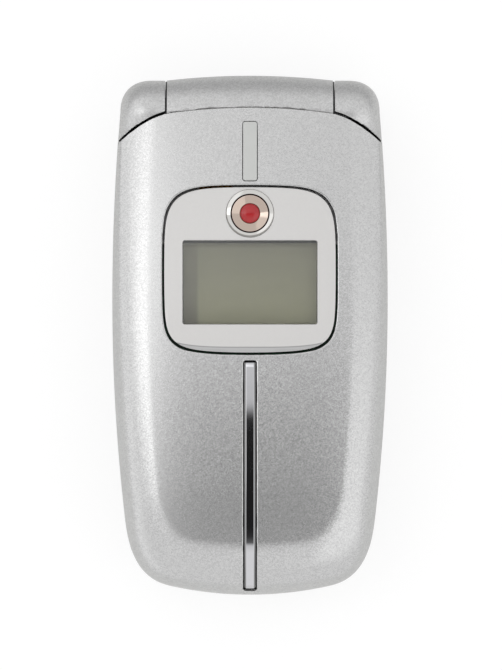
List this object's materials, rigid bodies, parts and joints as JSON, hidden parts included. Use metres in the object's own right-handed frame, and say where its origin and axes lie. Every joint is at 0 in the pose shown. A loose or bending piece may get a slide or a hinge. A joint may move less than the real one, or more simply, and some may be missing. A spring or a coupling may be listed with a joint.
{
  "type": "flip phone",
  "caption": "Closed clamshell mobile phone: crowned silver lid with small outer display and hinge barrel between two shoulders, keypad base with sliding battery cover.",
  "frame": {"origin": "middle of the overall box at the back face, on which the closed phone lies", "axes": "+Z out of the lid's outer face, +Y from the chin to the hinge, +X to the right when looking down on the lid"},
  "size_m": [0.0488, 0.0921, 0.0221],
  "materials": {
    "silver_paint": "satin metallic paint on moulded plastic",
    "window_plate": "glossy, clear coated",
    "grey_lcd": "glossy cover over a reflective display",
    "bright_chrome": "mirror",
    "red_dome": "glossy resin dome",
    "light_guide": "translucent, satin",
    "dark_window": "glossy",
    "colour_lcd": "glossy",
    "sheet_steel": "bright tinned sheet",
    "circuit_board": "satin solder mask",
    "black_plastic": "moulded",
    "dark_mesh": "pressed, dark",
    "magnet": "nickel plated",
    "soft_rubber": "soft, matt",
    "black_screws": "blackened",
    "spring_steel": "ground",
    "brass": "plated",
    "flex_film": "satin polyimide",
    "battery_case": "satin",
    "dome_film": "satin film",
    "key_rubber": "silicone",
    "antenna_carrier": "moulded, with plated tracks",
    "motor_can": "drawn steel can",
    "silver_keys": "satin paint, clear coated",
    "bright_key": "satin chrome",
    "green_key": "satin paint with a green mark",
    "red_key": "satin paint with a red mark"
  },
  "bodies": {
    "base": {"base_front_cover": "silver_paint", "base_rear_cover": "silver_paint", "hinge_shaft": "spring_steel", "hinge_bush": "black_plastic", "battery": "battery_case", "battery_contacts": "brass", "main_board": "circuit_board", "dome_sheet": "dome_film", "keypad_mat": "key_rubber", "shield_cans": "sheet_steel", "sim_holder": "sheet_steel", "microphone": "brass", "charge_socket": "black_plastic", "headset_jack": "black_plastic", "antenna": "antenna_carrier", "ringer": "black_plastic", "vibration_motor": "motor_can", "base_screws": "black_screws"},
    "lid": {"lid_outer_cover": "silver_paint", "lid_inner_cover": "silver_paint", "outer_window": "window_plate", "outer_display": "grey_lcd", "badge_ring": "bright_chrome", "badge_jewel": "red_dome", "light_guide": "light_guide", "trim_bar": "bright_chrome", "inner_window": "dark_window", "inner_display": "colour_lcd", "display_frame": "sheet_steel", "lid_board": "circuit_board", "earpiece": "black_plastic", "earpiece_mesh": "dark_mesh", "lid_magnet": "magnet", "lid_bumpers": "soft_rubber", "lid_screws": "black_screws", "hinge_can": "sheet_steel", "hinge_spring": "spring_steel", "hinge_follower": "brass", "flex_cable": "flex_film"},
    "battery_cover": {"battery_cover": "silver_paint"},
    "motor_weight": {"motor_weight": "brass"},
    "volume_rocker": {"volume_rocker": "silver_keys"},
    "key_1": {"key_1": "silver_keys"},
    "key_2": {"key_2": "silver_keys"},
    "key_3": {"key_3": "silver_keys"},
    "key_4": {"key_4": "silver_keys"},
    "key_5": {"key_5": "silver_keys"},
    "key_6": {"key_6": "silver_keys"},
    "key_7": {"key_7": "silver_keys"},
    "key_8": {"key_8": "silver_keys"},
    "key_9": {"key_9": "silver_keys"},
    "key_star": {"key_star": "silver_keys"},
    "key_0": {"key_0": "silver_keys"},
    "key_hash": {"key_hash": "silver_keys"},
    "soft_key_left": {"soft_key_left": "silver_keys"},
    "soft_key_right": {"soft_key_right": "silver_keys"},
    "call_key": {"call_key": "green_key"},
    "end_key": {"end_key": "red_key"},
    "nav_ring": {"nav_ring": "silver_keys"},
    "ok_key": {"ok_key": "bright_key"}
  },
  "joints": [
    {"name": "lid_hinge", "type": "hinge", "parent": "base", "child": "lid", "pos_m": [0, 0.0395, 0.0125], "axis": [-1, 0, 0], "range_deg": [0, 155]},
    {"name": "battery_cover_slide", "type": "slide", "parent": "base", "child": "battery_cover", "axis": [0, -1, 0], "range_m": [0, 0.008]},
    {"name": "motor_spin", "type": "hinge", "parent": "base", "child": "motor_weight", "pos_m": [-0.011, 0.026, 0.0053], "axis": [1, 0, 0], "continuous": true},
    {"name": "volume_tilt", "type": "hinge", "parent": "base", "child": "volume_rocker", "pos_m": [-0.0217, 0.002, 0.00925], "axis": [0, 0, 1], "range_deg": [-3, 3], "stiffness_Nm_per_rad": 0.05},
    {"name": "key_1_press", "type": "slide", "parent": "base", "child": "key_1", "axis": [0, 0, -1], "range_m": [0, 0.0004], "stiffness_N_per_m": 1000, "springref_m": -0.0006},
    {"name": "key_2_press", "type": "slide", "parent": "base", "child": "key_2", "axis": [0, 0, -1], "range_m": [0, 0.0004], "stiffness_N_per_m": 1000, "springref_m": -0.0006},
    {"name": "key_3_press", "type": "slide", "parent": "base", "child": "key_3", "axis": [0, 0, -1], "range_m": [0, 0.0004], "stiffness_N_per_m": 1000, "springref_m": -0.0006},
    {"name": "key_4_press", "type": "slide", "parent": "base", "child": "key_4", "axis": [0, 0, -1], "range_m": [0, 0.0004], "stiffness_N_per_m": 1000, "springref_m": -0.0006},
    {"name": "key_5_press", "type": "slide", "parent": "base", "child": "key_5", "axis": [0, 0, -1], "range_m": [0, 0.0004], "stiffness_N_per_m": 1000, "springref_m": -0.0006},
    {"name": "key_6_press", "type": "slide", "parent": "base", "child": "key_6", "axis": [0, 0, -1], "range_m": [0, 0.0004], "stiffness_N_per_m": 1000, "springref_m": -0.0006},
    {"name": "key_7_press", "type": "slide", "parent": "base", "child": "key_7", "axis": [0, 0, -1], "range_m": [0, 0.0004], "stiffness_N_per_m": 1000, "springref_m": -0.0006},
    {"name": "key_8_press", "type": "slide", "parent": "base", "child": "key_8", "axis": [0, 0, -1], "range_m": [0, 0.0004], "stiffness_N_per_m": 1000, "springref_m": -0.0006},
    {"name": "key_9_press", "type": "slide", "parent": "base", "child": "key_9", "axis": [0, 0, -1], "range_m": [0, 0.0004], "stiffness_N_per_m": 1000, "springref_m": -0.0006},
    {"name": "key_star_press", "type": "slide", "parent": "base", "child": "key_star", "axis": [0, 0, -1], "range_m": [0, 0.0004], "stiffness_N_per_m": 1000, "springref_m": -0.0006},
    {"name": "key_0_press", "type": "slide", "parent": "base", "child": "key_0", "axis": [0, 0, -1], "range_m": [0, 0.0004], "stiffness_N_per_m": 1000, "springref_m": -0.0006},
    {"name": "key_hash_press", "type": "slide", "parent": "base", "child": "key_hash", "axis": [0, 0, -1], "range_m": [0, 0.0004], "stiffness_N_per_m": 1000, "springref_m": -0.0006},
    {"name": "soft_key_left_press", "type": "slide", "parent": "base", "child": "soft_key_left", "axis": [0, 0, -1], "range_m": [0, 0.0004], "stiffness_N_per_m": 1000, "springref_m": -0.0006},
    {"name": "soft_key_right_press", "type": "slide", "parent": "base", "child": "soft_key_right", "axis": [0, 0, -1], "range_m": [0, 0.0004], "stiffness_N_per_m": 1000, "springref_m": -0.0006},
    {"name": "call_key_press", "type": "slide", "parent": "base", "child": "call_key", "axis": [0, 0, -1], "range_m": [0, 0.0004], "stiffness_N_per_m": 1000, "springref_m": -0.0006},
    {"name": "end_key_press", "type": "slide", "parent": "base", "child": "end_key", "axis": [0, 0, -1], "range_m": [0, 0.0004], "stiffness_N_per_m": 1000, "springref_m": -0.0006},
    {"name": "nav_ring_press", "type": "slide", "parent": "base", "child": "nav_ring", "axis": [0, 0, -1], "range_m": [0, 0.0004], "stiffness_N_per_m": 1000, "springref_m": -0.0006},
    {"name": "ok_key_press", "type": "slide", "parent": "base", "child": "ok_key", "axis": [0, 0, -1], "range_m": [0, 0.0004], "stiffness_N_per_m": 1000, "springref_m": -0.0006}
  ]
}
